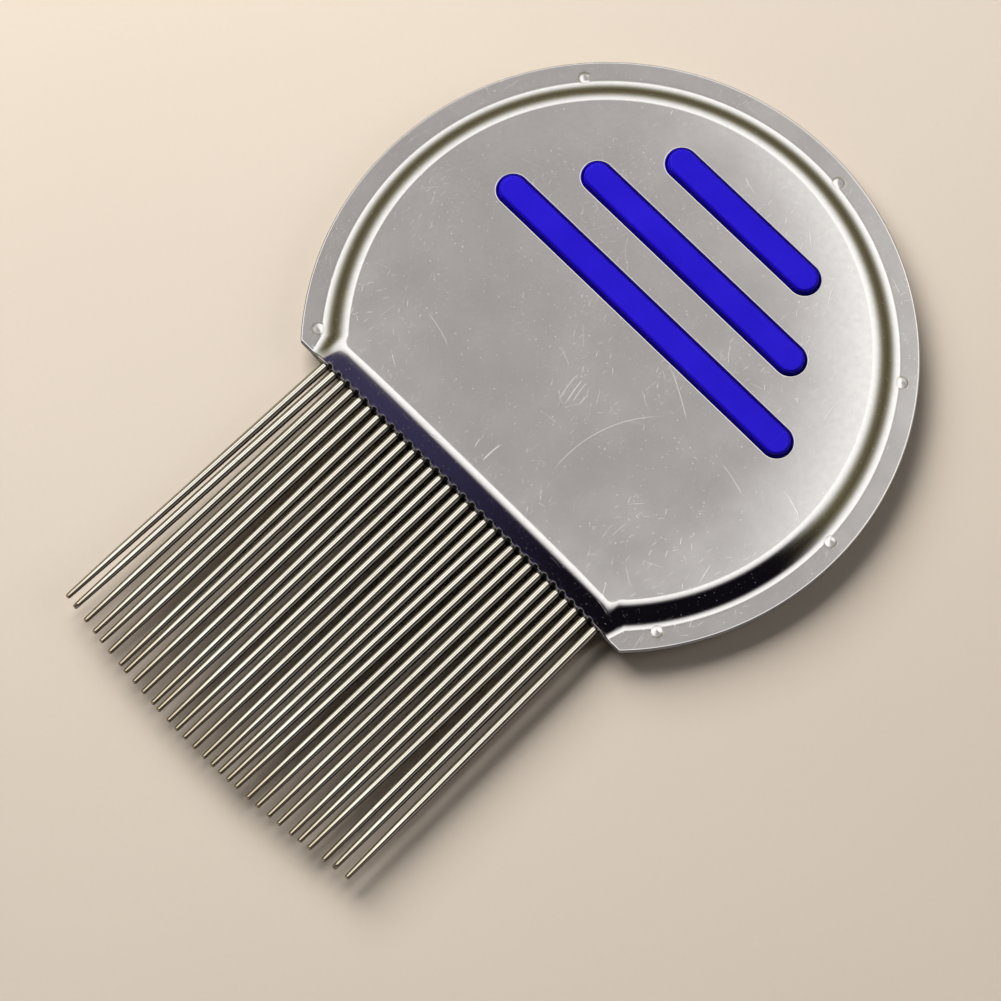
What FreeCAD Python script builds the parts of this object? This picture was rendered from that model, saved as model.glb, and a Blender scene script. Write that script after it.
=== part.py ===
import FreeCAD, Part
import math
import os

# A round flea comb, in millimetres.
#
# Two pressed steel shells lie face to face on a mid-plane and are spot welded
# round their flat rims.  Between them sit a moulded grip core, whose ribs come
# out through slots on both sides, and a moulded bar that holds a row of
# straight steel pins.  The pins leave through the comb's straight front edge.
#
# Everything is drawn about the centre of the round rim, with the mid-plane at
# z = 0 and the pins pointing along -Y, and is moved into the part's own frame
# as it is written: the origin is under the middle of the comb, in the plane
# that the lower ribs stand on, with +Y away from the pins.

# ---- driving dimensions -----------------------------------------------------

SHEET = 0.45              # thickness of the pressed steel
RIM_RADIUS = 32.0         # outer edge of the flat rim
MOUTH_FRONT = -22.0       # the comb is cut off straight here, across the mouth
RIM_CORNER = 0.45         # rounding of the rim's two cut corners
RIM_EDGE = 0.08           # broken edge round the rim

PANEL_Z = 2.27            # height of the flat panel over the mid-plane
PANEL_RADIUS = 27.3       # where the sloping wall meets the panel
FOOT_RADIUS = 29.75       # where the wall meets the top of the rim
PANEL_FRONT = -19.45      # the panel's straight front edge, at its corners
PANEL_BOW = 0.45          # how far that edge bows out in the middle
PANEL_HALF = 19.6         # half length of that edge
PANEL_SHOULDER = -18.95   # where the round edge of the panel ends
MOUTH_HALF = 21.4         # half width of the dish at the mouth, on z = 0
MOUTH_SHOULDER = -20.4    # where the round foot of the dish ends, on z = 0
LIP_SLOPE = 26.5          # slope of the front wall, in degrees
LIP_LENGTH = 0.9          # depth of the closed lip that the pins pass through
WALL_BEND = 0.7           # outer radius of the bend round the panel
FOOT_BEND = 0.5           # radius of the bend at the foot of the wall

SLOT_WIDTH = 3.3
SLOT_HALF_LENGTHS = (20.8, 15.63, 10.55)
SLOT_FIRST_Y = 4.8
SLOT_PITCH = 7.3
SLOT_EDGE = 0.16          # rolled edge of each slot

RIB_GAP = 0.1             # between a rib and the sides of its slot
RIB_PROUD = 0.4           # how far the ribs stand out of the panel
RIB_EDGE = 0.36           # rounding of the ribs' shoulders
CORE_RADIUS = 25.4
CORE_FRONT = 1.2
CORE_CORNER = 3.0
CORE_GAP = 0.06           # between the moulded parts and the shells

HOLDER_HALF = 21.0
HOLDER_FRONT = -20.6
HOLDER_BACK = -12.8
HOLDER_GAP = 0.06

PIN_COUNT = 31
PIN_PITCH = 1.305
PIN_RADIUS = 0.53
PIN_BACK = -13.6          # the pins' inner ends, inside the holder
PIN_TAPER_START = -24.0   # the pins are straight up to here
PIN_POINT_START = -51.0   # the slow taper ends here and the point begins
PIN_POINT_RADIUS = 0.43
PIN_TIP_RADIUS = 0.27
PIN_TIP_ROUND = 0.2
PIN_TIP_MIDDLE = -59.65   # the tips lie on an arc: this is the middle one
PIN_TIP_END = -57.95      # and these are the two end ones
PIN_BORE = 0.57           # hole in the lip for each pin
PIN_FIT = 0.02            # clearance between a pin and the holder

# The pins are set by hand and lean sideways a little.  These are the leans at
# the tips, from -X to +X, in tenths of a millimetre.
PIN_LEANS = (-6, -6, -1, 1, 0, 1, 5, 1, 2, 3, 5, 1, 3, 2, 1,
             2, 3, 2, 0, -2, -4, -1, -1, 1, 1, 4, 2, 1, 7, 7, 10)

DIMPLE_RADIUS = 0.62      # the lip is pressed in between the pins
DIMPLE_DEPTH = 0.2
DIMPLE_LENGTH = 0.42

WELD_ANGLES = (-139, -36, 3, 39, 83, 140)   # round the rim, from +X
WELD_CIRCLE = 30.25
WELD_RADIUS = 0.8
WELD_DEPTH = 0.1          # depth of the electrode marks in the rim

# ---- values worked out from them ----------------------------------------------

WALL_RUN = (FOOT_RADIUS - PANEL_RADIUS) / (PANEL_Z - SHEET)
LIP_RUN = 1.0 / math.tan(math.radians(LIP_SLOPE))
WALL_DROP = SHEET * math.hypot(1.0, 1.0 / WALL_RUN)
LIP_DROP = SHEET / math.cos(math.radians(LIP_SLOPE))
CAVITY_Z = PANEL_Z - SHEET
LIP_Z = PANEL_Z + (MOUTH_FRONT - PANEL_FRONT) / LIP_RUN
REST_Z = PANEL_Z + RIB_PROUD
PART_OFFSET = FreeCAD.Vector(0, -(RIM_RADIUS + PIN_TIP_MIDDLE) / 2, REST_Z)

UP = FreeCAD.Vector(0, 0, 1)
LARGE = 100.0             # a size that reaches past the whole comb
HAIR = 0.01               # a size that is too small to see


def point(x, y, z=0.0):
    return FreeCAD.Vector(x, y, z)


def line(start, end):
    return Part.LineSegment(start, end).toShape()


def arc(start, middle, end):
    return Part.Arc(start, middle, end).toShape()


def box(x0, x1, y0, y1, z0, z1):
    """A block between two opposite corners."""
    return Part.makeBox(x1 - x0, y1 - y0, z1 - z0, point(x0, y0, z0))


def between(start, end, share):
    return start + (end - start) * share


# ---- the pressed shells ---------------------------------------------------------

def dish_outline(z, wall_drop=0.0, lip_drop=0.0, gap=0.0):
    """The dish's outline at one height: round, with a straight front.

    The drops lower the sloping walls, to give the inside of the sheet, and
    gap draws the whole outline in.
    """
    wall_fall = PANEL_Z - wall_drop - z
    lip_fall = PANEL_Z - lip_drop - z
    radius = PANEL_RADIUS + wall_fall * WALL_RUN - gap
    front = PANEL_FRONT - lip_fall * LIP_RUN + gap
    half = between(PANEL_HALF, MOUTH_HALF, wall_fall / PANEL_Z) - gap
    bow = PANEL_BOW * max(0.0, 1.0 - lip_fall / PANEL_Z)
    shoulder_y = between(PANEL_SHOULDER, MOUTH_SHOULDER, wall_fall / PANEL_Z)
    shoulder_x = math.sqrt(radius ** 2 - shoulder_y ** 2)
    corners = [point(side * half, front, z) for side in (-1, 1)]
    shoulders = [point(side * shoulder_x, shoulder_y, z) for side in (-1, 1)]
    return Part.Wire([
        arc(shoulders[1], point(0, radius, z), shoulders[0]),
        line(shoulders[0], corners[0]),
        arc(corners[0], point(0, front - bow - HAIR, z), corners[1]),
        line(corners[1], shoulders[1]),
    ])


def dish(low_z, high_z, **offsets):
    """The solid between two of those outlines."""
    wires = [dish_outline(z, **offsets) for z in (low_z, high_z)]
    return Part.makeLoft(wires, True, True)


def is_flat(edge):
    return edge.BoundBox.ZLength < HAIR


def is_upright(edge):
    size = edge.BoundBox
    return size.ZLength > HAIR and max(size.XLength, size.YLength) < HAIR


def rim_plate():
    """The flat blank: a disc cut off straight at the mouth."""
    plate = Part.makeCylinder(RIM_RADIUS, SHEET)
    plate = plate.cut(in_front_of(MOUTH_FRONT))
    corners = [edge for edge in plate.Edges if is_upright(edge) and edge.BoundBox.YMax < 0]
    return plate.makeFillet(RIM_CORNER, corners)


def in_front_of(y):
    """Everything on the pins' side of a plane across the comb."""
    return box(-LARGE, LARGE, -LARGE, y, -LARGE, LARGE)


def pressed_blank():
    """The blank with the dish raised in it, and its bends rounded."""
    blank = dish(0, PANEL_Z).cut(in_front_of(MOUTH_FRONT))
    blank = blank.fuse(rim_plate()).removeSplitter()
    bends = []
    for edge in blank.Edges:
        size = edge.BoundBox
        round_the_panel = size.ZMin > PANEL_Z - HAIR
        down_the_wall = size.ZLength > SHEET and size.ZMax > PANEL_Z - HAIR
        if round_the_panel or down_the_wall:
            bends.append(edge)
    blank = blank.makeFillet(WALL_BEND, bends)
    foot = []
    for edge in blank.Edges:
        on_the_rim = is_flat(edge) and abs(edge.BoundBox.ZMin - SHEET) < HAIR
        if on_the_rim and edge.Curve.TypeId == "Part::GeomBSplineCurve":
            foot.append(edge)
    blank = blank.makeFillet(FOOT_BEND, foot)
    outline = []
    for edge in blank.Edges:
        on_the_rim = is_flat(edge) and abs(edge.BoundBox.ZMin - SHEET) < HAIR
        if on_the_rim and edge.BoundBox.YMax > FOOT_RADIUS + 1:
            outline.append(edge)
    return blank.makeFillet(RIM_EDGE, outline)


def cavity():
    """The hollow under the panel, closed off behind the lip."""
    hollow = dish(0, CAVITY_Z, wall_drop=WALL_DROP, lip_drop=LIP_DROP)
    hollow = hollow.cut(in_front_of(MOUTH_FRONT + LIP_LENGTH))
    ceiling = [edge for edge in hollow.Edges if edge.BoundBox.ZMin > CAVITY_Z - HAIR]
    return hollow.makeFillet(WALL_BEND - SHEET, ceiling)


def stadium(half_length, width, z0, z1):
    """A block with round ends, lying along X."""
    radius = width / 2
    reach = half_length - radius
    outline = Part.Wire([
        line(point(-reach, -radius, z0), point(reach, -radius, z0)),
        arc(point(reach, -radius, z0), point(half_length, 0, z0), point(reach, radius, z0)),
        line(point(reach, radius, z0), point(-reach, radius, z0)),
        arc(point(-reach, radius, z0), point(-half_length, 0, z0), point(-reach, -radius, z0)),
    ])
    return Part.Face(outline).extrude(UP * (z1 - z0))


def slot_rows():
    """Each slot's place and half length, from the mouth outwards."""
    return [(SLOT_FIRST_Y + row * SLOT_PITCH, half) for row, half in enumerate(SLOT_HALF_LENGTHS)]


def dimples():
    """Cutters for the marks pressed into the lip between the pins."""
    slope = 1.0 / LIP_RUN + DIMPLE_DEPTH / DIMPLE_LENGTH
    along = FreeCAD.Vector(0, 1, slope)
    along.normalize()
    lift = DIMPLE_RADIUS / along.y
    cutters = []
    for gap in range(PIN_COUNT - 1):
        x = (gap + 0.5 - (PIN_COUNT - 1) / 2) * PIN_PITCH
        mouth = point(x, MOUTH_FRONT, LIP_Z - DIMPLE_DEPTH + lift)
        start = mouth - along * PIN_PITCH
        cutters.append(Part.makeCylinder(DIMPLE_RADIUS, 3 * PIN_PITCH, start, along))
    return cutters


def weld_marks():
    """Cutters for the round marks that the spot welder leaves on the rim."""
    cutters = []
    for degrees in WELD_ANGLES:
        angle = math.radians(degrees)
        x = WELD_CIRCLE * math.cos(angle)
        y = WELD_CIRCLE * math.sin(angle)
        base = point(x, y, SHEET - WELD_DEPTH)
        cutters.append(Part.makeCylinder(WELD_RADIUS, PANEL_Z, base))
    return cutters


def front_shell():
    """The shell on the +Z side, with its inner face on the mid-plane."""
    shell = pressed_blank()
    cutters = dimples() + weld_marks()
    for y, half_length in slot_rows():
        slot = stadium(half_length, SLOT_WIDTH, -1, LARGE)
        slot.translate(point(0, y))
        cutters.append(slot)
    shell = shell.cut(cavity())
    shell = shell.cut(tuple(cutters))
    shell = shell.cut(tuple(rod(number, PIN_BORE) for number in range(PIN_COUNT)))
    rolled = []
    for edge in shell.Edges:
        size = edge.BoundBox
        in_the_panel = is_flat(edge) and size.ZMin > PANEL_Z - HAIR
        if in_the_panel and size.YMin > SLOT_FIRST_Y - SLOT_WIDTH and size.YMax < PANEL_RADIUS - 3:
            rolled.append(edge)
    return shell.makeFillet(SLOT_EDGE, rolled)


# ---- the pins and what holds them -------------------------------------------------

def pin_place(number):
    """A pin's place across the comb, and its place along the arc of tips."""
    step = number - (PIN_COUNT - 1) / 2
    share = step / ((PIN_COUNT - 1) / 2)
    tip_y = between(PIN_TIP_MIDDLE, PIN_TIP_END, share ** 2)
    return step * PIN_PITCH, tip_y


def lean(shape, number):
    """Put a straight pin in its place, turned about its hole in the lip."""
    x, tip_y = pin_place(number)
    angle = math.atan2(PIN_LEANS[number] / 10.0, MOUTH_FRONT - tip_y)
    shape.rotate(point(0, MOUTH_FRONT), UP, math.degrees(angle))
    shape.translate(point(x, 0))
    return shape


def rod(number, radius):
    """A plain rod on a pin's line, as long as the pin's straight part."""
    length = PIN_BACK - PIN_TAPER_START
    shape = Part.makeCylinder(radius, length, point(0, PIN_BACK), point(0, -1))
    return lean(shape, number)


def pin(number):
    tip_y = pin_place(number)[1]
    round_centre = PIN_TIP_RADIUS - PIN_TIP_ROUND
    round_start = point(PIN_TIP_RADIUS, tip_y + PIN_TIP_ROUND)
    diagonal = PIN_TIP_ROUND * math.sqrt(0.5)
    round_middle = point(round_centre + diagonal, tip_y + PIN_TIP_ROUND - diagonal)
    round_end = point(round_centre, tip_y)
    profile = [
        point(0, PIN_BACK),
        point(PIN_RADIUS, PIN_BACK),
        point(PIN_RADIUS, PIN_TAPER_START),
        point(PIN_POINT_RADIUS, PIN_POINT_START),
        round_start,
    ]
    edges = [line(start, end) for start, end in zip(profile, profile[1:])]
    edges.append(arc(round_start, round_middle, round_end))
    edges.append(line(round_end, point(0, tip_y)))
    edges.append(line(point(0, tip_y), profile[0]))
    shape = Part.Face(Part.Wire(edges)).revolve(point(0, 0), point(0, 1), 360)
    return lean(shape, number)


def pin_holder():
    """The moulded bar that fills the mouth behind the lip and grips the pins."""
    top = CAVITY_Z - HOLDER_GAP
    half = dish(0, top, wall_drop=WALL_DROP, lip_drop=LIP_DROP, gap=HOLDER_GAP)
    half = half.common(box(-HOLDER_HALF, HOLDER_HALF, HOLDER_FRONT, HOLDER_BACK, -1, top))
    bar = half.fuse(mirrored(half)).removeSplitter()
    return bar.cut(tuple(rod(number, PIN_RADIUS + PIN_FIT) for number in range(PIN_COUNT)))


# ---- the grip core ------------------------------------------------------------------

def rib(half_length):
    """One rib, reaching out of both panels, with rounded shoulders."""
    shape = stadium(half_length - RIB_GAP, SLOT_WIDTH - 2 * RIB_GAP, -REST_Z, REST_Z)
    shoulders = [edge for edge in shape.Edges if is_flat(edge)]
    return shape.makeFillet(RIB_EDGE, shoulders)


def grip_core():
    """The moulded plate between the panels, with a rib for each slot."""
    half_height = CAVITY_Z - CORE_GAP
    plate = Part.makeCylinder(CORE_RADIUS, 2 * half_height, point(0, 0, -half_height))
    plate = plate.cut(in_front_of(CORE_FRONT))
    corners = [edge for edge in plate.Edges if is_upright(edge) and edge.BoundBox.YMax < CORE_FRONT + 1]
    core = plate.makeFillet(CORE_CORNER, corners)
    for y, half_length in slot_rows():
        ridge = rib(half_length)
        ridge.translate(point(0, y))
        core = core.fuse(ridge)
    return core


def mirrored(shape):
    return shape.mirror(point(0, 0), UP)


def write(name, shape):
    """Move one piece into the part's frame and write it as a STEP file."""
    placed = shape.copy()
    placed.translate(PART_OFFSET)
    solids = placed.Solids
    if len(solids) != 1 or not solids[0].isValid():
        raise ValueError(name + " is not one valid solid")
    solids[0].exportStep(os.path.join("parts", name + ".step"))


def main():
    os.makedirs("parts", exist_ok=True)
    shell = front_shell()
    write("front_shell", shell)
    write("back_shell", mirrored(shell))
    write("grip_core", grip_core())
    write("pin_holder", pin_holder())
    for number in range(PIN_COUNT):
        write("pin_{:02d}".format(number + 1), pin(number))


main()
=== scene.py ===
import bpy
import math
import numpy as np
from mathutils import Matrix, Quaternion, Vector
from mathutils.geometry import delaunay_2d_cdt


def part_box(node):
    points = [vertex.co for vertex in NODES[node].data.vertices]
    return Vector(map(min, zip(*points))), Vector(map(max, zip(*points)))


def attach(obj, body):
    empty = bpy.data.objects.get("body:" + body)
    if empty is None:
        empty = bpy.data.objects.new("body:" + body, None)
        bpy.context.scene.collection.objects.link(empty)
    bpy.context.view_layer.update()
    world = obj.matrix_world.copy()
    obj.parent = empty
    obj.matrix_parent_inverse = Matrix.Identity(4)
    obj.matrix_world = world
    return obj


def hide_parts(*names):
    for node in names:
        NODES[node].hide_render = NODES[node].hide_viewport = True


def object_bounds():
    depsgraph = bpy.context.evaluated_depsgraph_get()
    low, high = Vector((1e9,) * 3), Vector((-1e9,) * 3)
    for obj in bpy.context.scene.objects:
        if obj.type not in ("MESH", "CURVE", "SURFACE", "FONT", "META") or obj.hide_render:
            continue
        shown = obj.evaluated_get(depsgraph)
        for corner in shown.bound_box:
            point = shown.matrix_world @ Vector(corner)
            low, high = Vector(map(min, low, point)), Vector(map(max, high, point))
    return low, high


# A round flea comb lying on a pale table.  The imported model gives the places
# and sizes; this script gives each piece its fine shape and its finish, and
# adds the table, the light and the view.
#
# Shapes are worked out in millimetres about the centre of the comb's round
# rim, with the plane where the two shells meet at z = 0, as the comb is drawn.

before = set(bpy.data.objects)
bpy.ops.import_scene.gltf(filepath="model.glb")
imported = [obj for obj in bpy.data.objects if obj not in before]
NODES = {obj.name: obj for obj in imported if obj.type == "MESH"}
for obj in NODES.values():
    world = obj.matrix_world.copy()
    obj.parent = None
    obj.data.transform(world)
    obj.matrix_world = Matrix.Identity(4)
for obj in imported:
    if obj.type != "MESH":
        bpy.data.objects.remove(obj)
cad_low, cad_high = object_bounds()
PIN_NAMES = sorted(name for name in NODES if name.startswith("pin_") and name != "pin_holder")

MM = 0.001
shell_low, shell_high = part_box("front_shell")
_, core_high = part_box("grip_core")

RIM_RADIUS = shell_high.x / MM
RIM_CENTRE = Vector((0.0, shell_high.y - shell_high.x, shell_low.z))
PANEL_Z = (shell_high.z - shell_low.z) / MM
MOUTH_FRONT = (shell_low.y - RIM_CENTRE.y) / MM
RIB_Z = (core_high.z - RIM_CENTRE.z) / MM

# ---- the pressed shell's shape ----

SHEET = 0.45              # thickness of the steel
PANEL_RADIUS = 27.15      # round edge of the panel
WALL_RUN = 1.4            # the wall's run for each millimetre of drop, at its steepest
PANEL_FRONT = -19.45      # the panel's front edge, at its corners
PANEL_HALF = 19.6         # half length of that edge
PANEL_BOW = 0.45          # how far it bows out in the middle
LIP_RUN = 2.006           # the front wall's run for each millimetre of drop
SIDE_FOOT = (22.48, -20.4)  # where the mouth's side wall starts, at z = 0
SIDE_NORMAL = (0.958, -0.287)  # which way that wall faces
SIDE_REACH = 3.075        # its run from the panel to z = 0
SIDE_END = -12.0          # it has run into the round wall by here
SIDE_BEND = 0.05          # how softly it does that
WALL_BEND = 0.42          # how soft the bends of the round wall are, as a height
FRONT_BEND = 0.28         # the same at the two ends of the front wall
FRONT_BEND_MIDDLE = 0.46  # and in its middle
CREASE_BEND = 0.45        # and where the two walls meet
UNDER_BEND = 0.06         # and on the shell's inner face
# The round wall's bends run into one another: its normals follow a face with
# lifted and softer bends.  Lift and bend, beside the panel and beside the rim.
EASED = (0.25, 0.59, 0.36, 0.57)
LEFT_BLEND = (-0.3, 0.6)  # the front wall's bends give way to the round wall's where
RIGHT_BLEND = (0.0, 0.8)  # its slope, drawn on, is this much above the other's
CROWN_WIDTH = 12.0        # the panel falls away a little towards its edge
CROWN_DROP = 0.215

LIP_DEPTH = 0.9      # depth of the closed lip that the pins pass through
PIN_PITCH = 1.305
PIN_GAPS = 30        # gaps between the pins
PIN_BORE = 0.57      # radius of the round holes that they pass through
DIMPLE_WIDE = 0.36   # the lip is pressed in between the pins: half width,
DIMPLE_LONG = 0.15   # half length
DIMPLE_DEPTH = 0.10  # and depth
BURR_HEIGHT = 0.008  # low burr round each dimple
BURR_AT = 1.15       # how far out it stands, in dimple sizes
BURR_WIDTH = 0.15

WELD_ANGLES = (-139, -36, 3, 39, 83, 140)  # where the weld marks are, in degrees
WELD_CIRCLE = 30.25  # radius of the circle that they stand on
WELD_RADIUS = 0.64
WELD_DEPTH = 0.035
WELD_RING = 0.005    # height and half width of the ring round each mark
WELD_EDGE = 0.06
WELD_STAIN = 0.10    # half width of the stain round it
WELD_LEAN = 0.4      # turn from straight outwards to the stain's darkest side

SLOTS = ((4.8, 20.8), (12.1, 15.63), (19.4, 10.55))  # place along Y, half length
SLOT_RADIUS = 1.65    # half the slots' width
SLOT_ROLL = 0.27      # rounding of the slots' edges
RIM_ROLL = 0.2        # rounding of the sheet's cut edge, across
RIM_ROLL_DOWN = 0.09  # and down
LIP_ROLL_DOWN = 0.34  # and down at the lip
LIP_EDGE = MOUTH_FRONT + RIM_ROLL


def smooth_min(a, b, size):
    """The lesser of two values, with a rounded corner of this size between them."""
    overlap = np.maximum(size - np.abs(a - b), 0.0)
    return np.minimum(a, b) - overlap ** 2 / (4.0 * size)


def smooth_max(a, b, size):
    return -smooth_min(-a, -b, size)


def smooth_step(value, low, high):
    share = np.clip((value - low) / (high - low), 0.0, 1.0)
    return share * share * (3.0 - 2.0 * share)


def side_run(x, y):
    """How far out a point is past the panel's edge, beside the mouth."""
    out_x = np.abs(x) - SIDE_FOOT[0]
    out_y = y - SIDE_FOOT[1]
    return out_x * SIDE_NORMAL[0] + out_y * SIDE_NORMAL[1] + SIDE_REACH


def bow_at(x):
    """How far the panel's front edge stands out from its corners."""
    return PANEL_BOW * (1.0 - np.minimum(np.abs(x) / PANEL_HALF, 1.0) ** 2)


def raised(x, y, drop_wall=0.0, drop_lip=0.0):
    """Height of the sloping walls, before they are cut off by the panel."""
    wall = PANEL_Z - drop_wall - (np.hypot(x, y) - PANEL_RADIUS) / WALL_RUN
    side = (PANEL_Z - drop_wall) - PANEL_Z * side_run(x, y) / SIDE_REACH
    wall = np.where(y < SIDE_END, smooth_max(wall, side, SIDE_BEND), wall)
    bow = bow_at(x)
    fall = (PANEL_FRONT - bow - y) / (PANEL_Z * LIP_RUN - bow)
    front = PANEL_Z * (1.0 - fall) - drop_lip
    return smooth_min(wall, front, CREASE_BEND)


def by_wall(x, y):
    """1 along the round wall and 0 along the front one."""
    wall = (PANEL_RADIUS - np.hypot(x, y)) / WALL_RUN
    front = (y - PANEL_FRONT + bow_at(x)) / LIP_RUN
    start = np.where(x > 0.0, RIGHT_BLEND[0], LEFT_BLEND[0])
    end = np.where(x > 0.0, RIGHT_BLEND[1], LEFT_BLEND[1])
    return smooth_step(front - wall, start, end)


def crown(x, y):
    """The panel's own height: level, falling away a little near its edge."""
    inside = PANEL_RADIUS - np.hypot(x, y)
    near = np.clip(1.0 - inside / CROWN_WIDTH, 0.0, 1.2)
    return PANEL_Z - CROWN_DROP * near ** 2


def from_dimple(x, y):
    """How far a point is from the nearest dimple in the lip: 1 on the dimple's edge."""
    gap = (np.mod(x / PIN_PITCH, 1.0) - 0.5) * PIN_PITCH
    away = np.hypot(gap / DIMPLE_WIDE, (y - LIP_EDGE) / DIMPLE_LONG)
    return np.where(np.abs(x) < PIN_GAPS / 2 * PIN_PITCH, away, np.inf)


def dimples(x, y):
    """Height of the lip's dimples, which lie between the pins."""
    away = from_dimple(x, y)
    hollow = DIMPLE_DEPTH * (1.0 - smooth_step(away, 0.4, 1.0))
    return BURR_HEIGHT * np.exp(-((away - BURR_AT) / BURR_WIDTH) ** 2) - hollow


def from_weld(x, y, degrees):
    """How far a point is from a weld mark's middle, and in which direction."""
    angle = math.radians(degrees)
    out_x = x - WELD_CIRCLE * math.cos(angle)
    out_y = y - WELD_CIRCLE * math.sin(angle)
    return np.hypot(out_x, out_y), np.arctan2(out_y, out_x)


def welds(x, y):
    """Height of the spot weld marks: shallow bowls, each with a low ring round it."""
    total = np.zeros_like(x)
    for degrees in WELD_ANGLES:
        away, _ = from_weld(x, y, degrees)
        dent = WELD_DEPTH * (1.0 - np.minimum(away / WELD_RADIUS, 1.0) ** 2) ** 2
        total = total - dent + WELD_RING * np.exp(-((away - WELD_RADIUS) / WELD_EDGE) ** 2)
    return total


def top_height(x, y, eased=False):
    """The shell's outer face, or the one with eased bends that the wall's normals follow."""
    middle = 1.0 - np.minimum(np.abs(x) / PANEL_HALF, 1.0) ** 2
    front_bend = FRONT_BEND + (FRONT_BEND_MIDDLE - FRONT_BEND) * middle
    bend = front_bend + (WALL_BEND - front_bend) * by_wall(x, y)
    lift, bend, foot_lift, foot_bend = EASED if eased else (0.0, bend, 0.0, bend)
    z = smooth_min(crown(x, y) - lift, raised(x, y), bend)
    z = smooth_max(SHEET + foot_lift + np.zeros_like(z), z, foot_bend)
    return z + dimples(x, y) + welds(x, y)


def under_height(x, y):
    """The shell's inner face: on the rim it is the plane where the shells meet."""
    drop_wall = SHEET * math.hypot(1.0, 1.0 / WALL_RUN)
    drop_lip = SHEET * math.hypot(1.0, 1.0 / LIP_RUN)
    ceiling = np.full_like(x, PANEL_Z - SHEET)
    hollow = smooth_min(ceiling, raised(x, y, drop_wall, drop_lip), UNDER_BEND)
    across = np.abs(np.mod(x / PIN_PITCH + 0.5, 1.0) - 0.5) * PIN_PITCH
    bore = np.sqrt(np.maximum(PIN_BORE ** 2 - across ** 2, 0.0))
    bore = np.where(np.abs(x) < (PIN_GAPS + 1) / 2 * PIN_PITCH, bore, 0.0)
    in_lip = y < MOUTH_FRONT + LIP_DEPTH
    return np.maximum(np.where(in_lip, bore, hollow), 0.0)


SLOPE_STEP = 0.004  # how far apart the points are that a slope is taken between
WORKED_STEP = 0.12  # the same where only a bend's neighbourhood matters


def slopes(x, y, eased, step=SLOPE_STEP):
    """How steeply the outer face rises along x and along y."""
    along_x = (top_height(x + step, y, eased) - top_height(x - step, y, eased)) / (2 * step)
    along_y = (top_height(x, y + step, eased) - top_height(x, y - step, eased)) / (2 * step)
    return along_x, along_y


# ---- meshes from rows of points ----

class Builder:
    """Collects points, faces and point normals for one mesh."""

    def __init__(self):
        self.points = []
        self.normals = []
        self.extra = []
        self.faces = []
        self.count = 0

    def add(self, x, y, z, normal=None, extra=(0.0, 0.0, 0.0)):
        """Add a row of points and return their numbers.

        extra is how far the metal is worked, stained by a weld, and cut or in a dimple, where it is
        painted near black as shade; on a pin, its wear and how far it faces the next one, where it gets
        painted shade.
        """
        x, y, z = np.broadcast_arrays(x, y, z)
        block = np.stack([x, y, z], axis=-1).reshape(-1, 3).astype(float)
        given = np.zeros_like(block) if normal is None else np.asarray(normal, float).reshape(-1, 3)
        self.points.append(block)
        self.normals.append(given)
        marks = [np.broadcast_to(np.asarray(value, float).reshape(-1), (len(block),)) for value in extra]
        self.extra.append(np.stack(marks, axis=-1))
        numbers = np.arange(self.count, self.count + len(block))
        self.count += len(block)
        return numbers

    def skin(self, rows, flip=False):
        """Quads between one closed row and the next, all of the same length."""
        for a, b in zip(rows, rows[1:]):
            quads = np.stack([a, np.roll(a, -1), np.roll(b, -1), b], axis=1)
            self.faces.extend((quads[:, ::-1] if flip else quads).tolist())

    def obj(self, name, mirror=False):
        """Make the mesh, or its mirror image in z, and put it in its place."""
        points = np.concatenate(self.points)
        normals = np.concatenate(self.normals)
        faces = self.faces
        if mirror:
            points = points * (1, 1, -1)
            normals = normals * (1, 1, -1)
            faces = [face[::-1] for face in faces]
        points = points * MM + np.array(RIM_CENTRE)
        mesh = bpy.data.meshes.new(name)
        mesh.from_pydata(points.tolist(), [], faces)
        mesh.polygons.foreach_set("use_smooth", [True] * len(mesh.polygons))
        extra = np.concatenate(self.extra).astype(np.float32)
        # the second column is the weld stain on a shell and painted shade on a pin's flanks; the third is
        # painted shade on cut edges and dimples
        for column, title in enumerate(("worked", "stain", "cut_and_dimple_shade")):
            attribute = mesh.attributes.new(title, "FLOAT", "POINT")
            attribute.data.foreach_set("value", extra[:, column].copy())
        mesh.validate()
        mesh.normals_split_custom_set_from_vertices(normals.tolist())
        obj = linked(name, mesh)
        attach(obj, "root")
        return obj


def linked(name, data):
    """A new object in the scene."""
    obj = bpy.data.objects.new(name, data)
    bpy.context.scene.collection.objects.link(obj)
    return obj


def in_space(vectors):
    """Flat vectors as ones in space."""
    return np.concatenate([vectors, np.zeros((len(vectors), 1))], axis=1)


def unit(vectors):
    return vectors / np.linalg.norm(vectors, axis=-1, keepdims=True)


def arc_points(radius, start, end, count, centre=(0.0, 0.0)):
    """Points along a circle, between two angles in degrees."""
    angles = np.radians(np.linspace(start, end, count))
    return np.stack([centre[0] + radius * np.cos(angles), centre[1] + radius * np.sin(angles)], axis=1)


SLOT_END_COLUMNS = 28   # points round each end of a slot
SLOT_SIDE_COLUMNS = 30  # and along each of its sides
RIB_SIDE_COLUMNS = 2    # the same for a rib


def stadium(y, half, radius, straight):
    """A closed loop round a slot, anticlockwise from its lower left."""
    reach = half - SLOT_RADIUS
    lower = np.stack([np.linspace(-reach, reach, straight + 2)[1:-1], np.full(straight, -radius)], axis=1)
    right = arc_points(radius, -90, 90, SLOT_END_COLUMNS, (reach, 0))
    upper = lower[::-1] * (1, -1)
    left = arc_points(radius, 90, 270, SLOT_END_COLUMNS, (-reach, 0))
    return np.concatenate([lower, right, upper, left]) + (0, y)


def from_slot(x, y, slot_y, half):
    """How far a point is, along x and y, from a slot's middle line."""
    reach = half - SLOT_RADIUS
    return x - np.clip(x, -reach, reach), y - slot_y


def stadium_out(loop, y, half):
    """Unit vectors pointing out of a loop round a slot."""
    return unit(np.stack(from_slot(*loop.T, y, half), axis=1))


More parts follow.
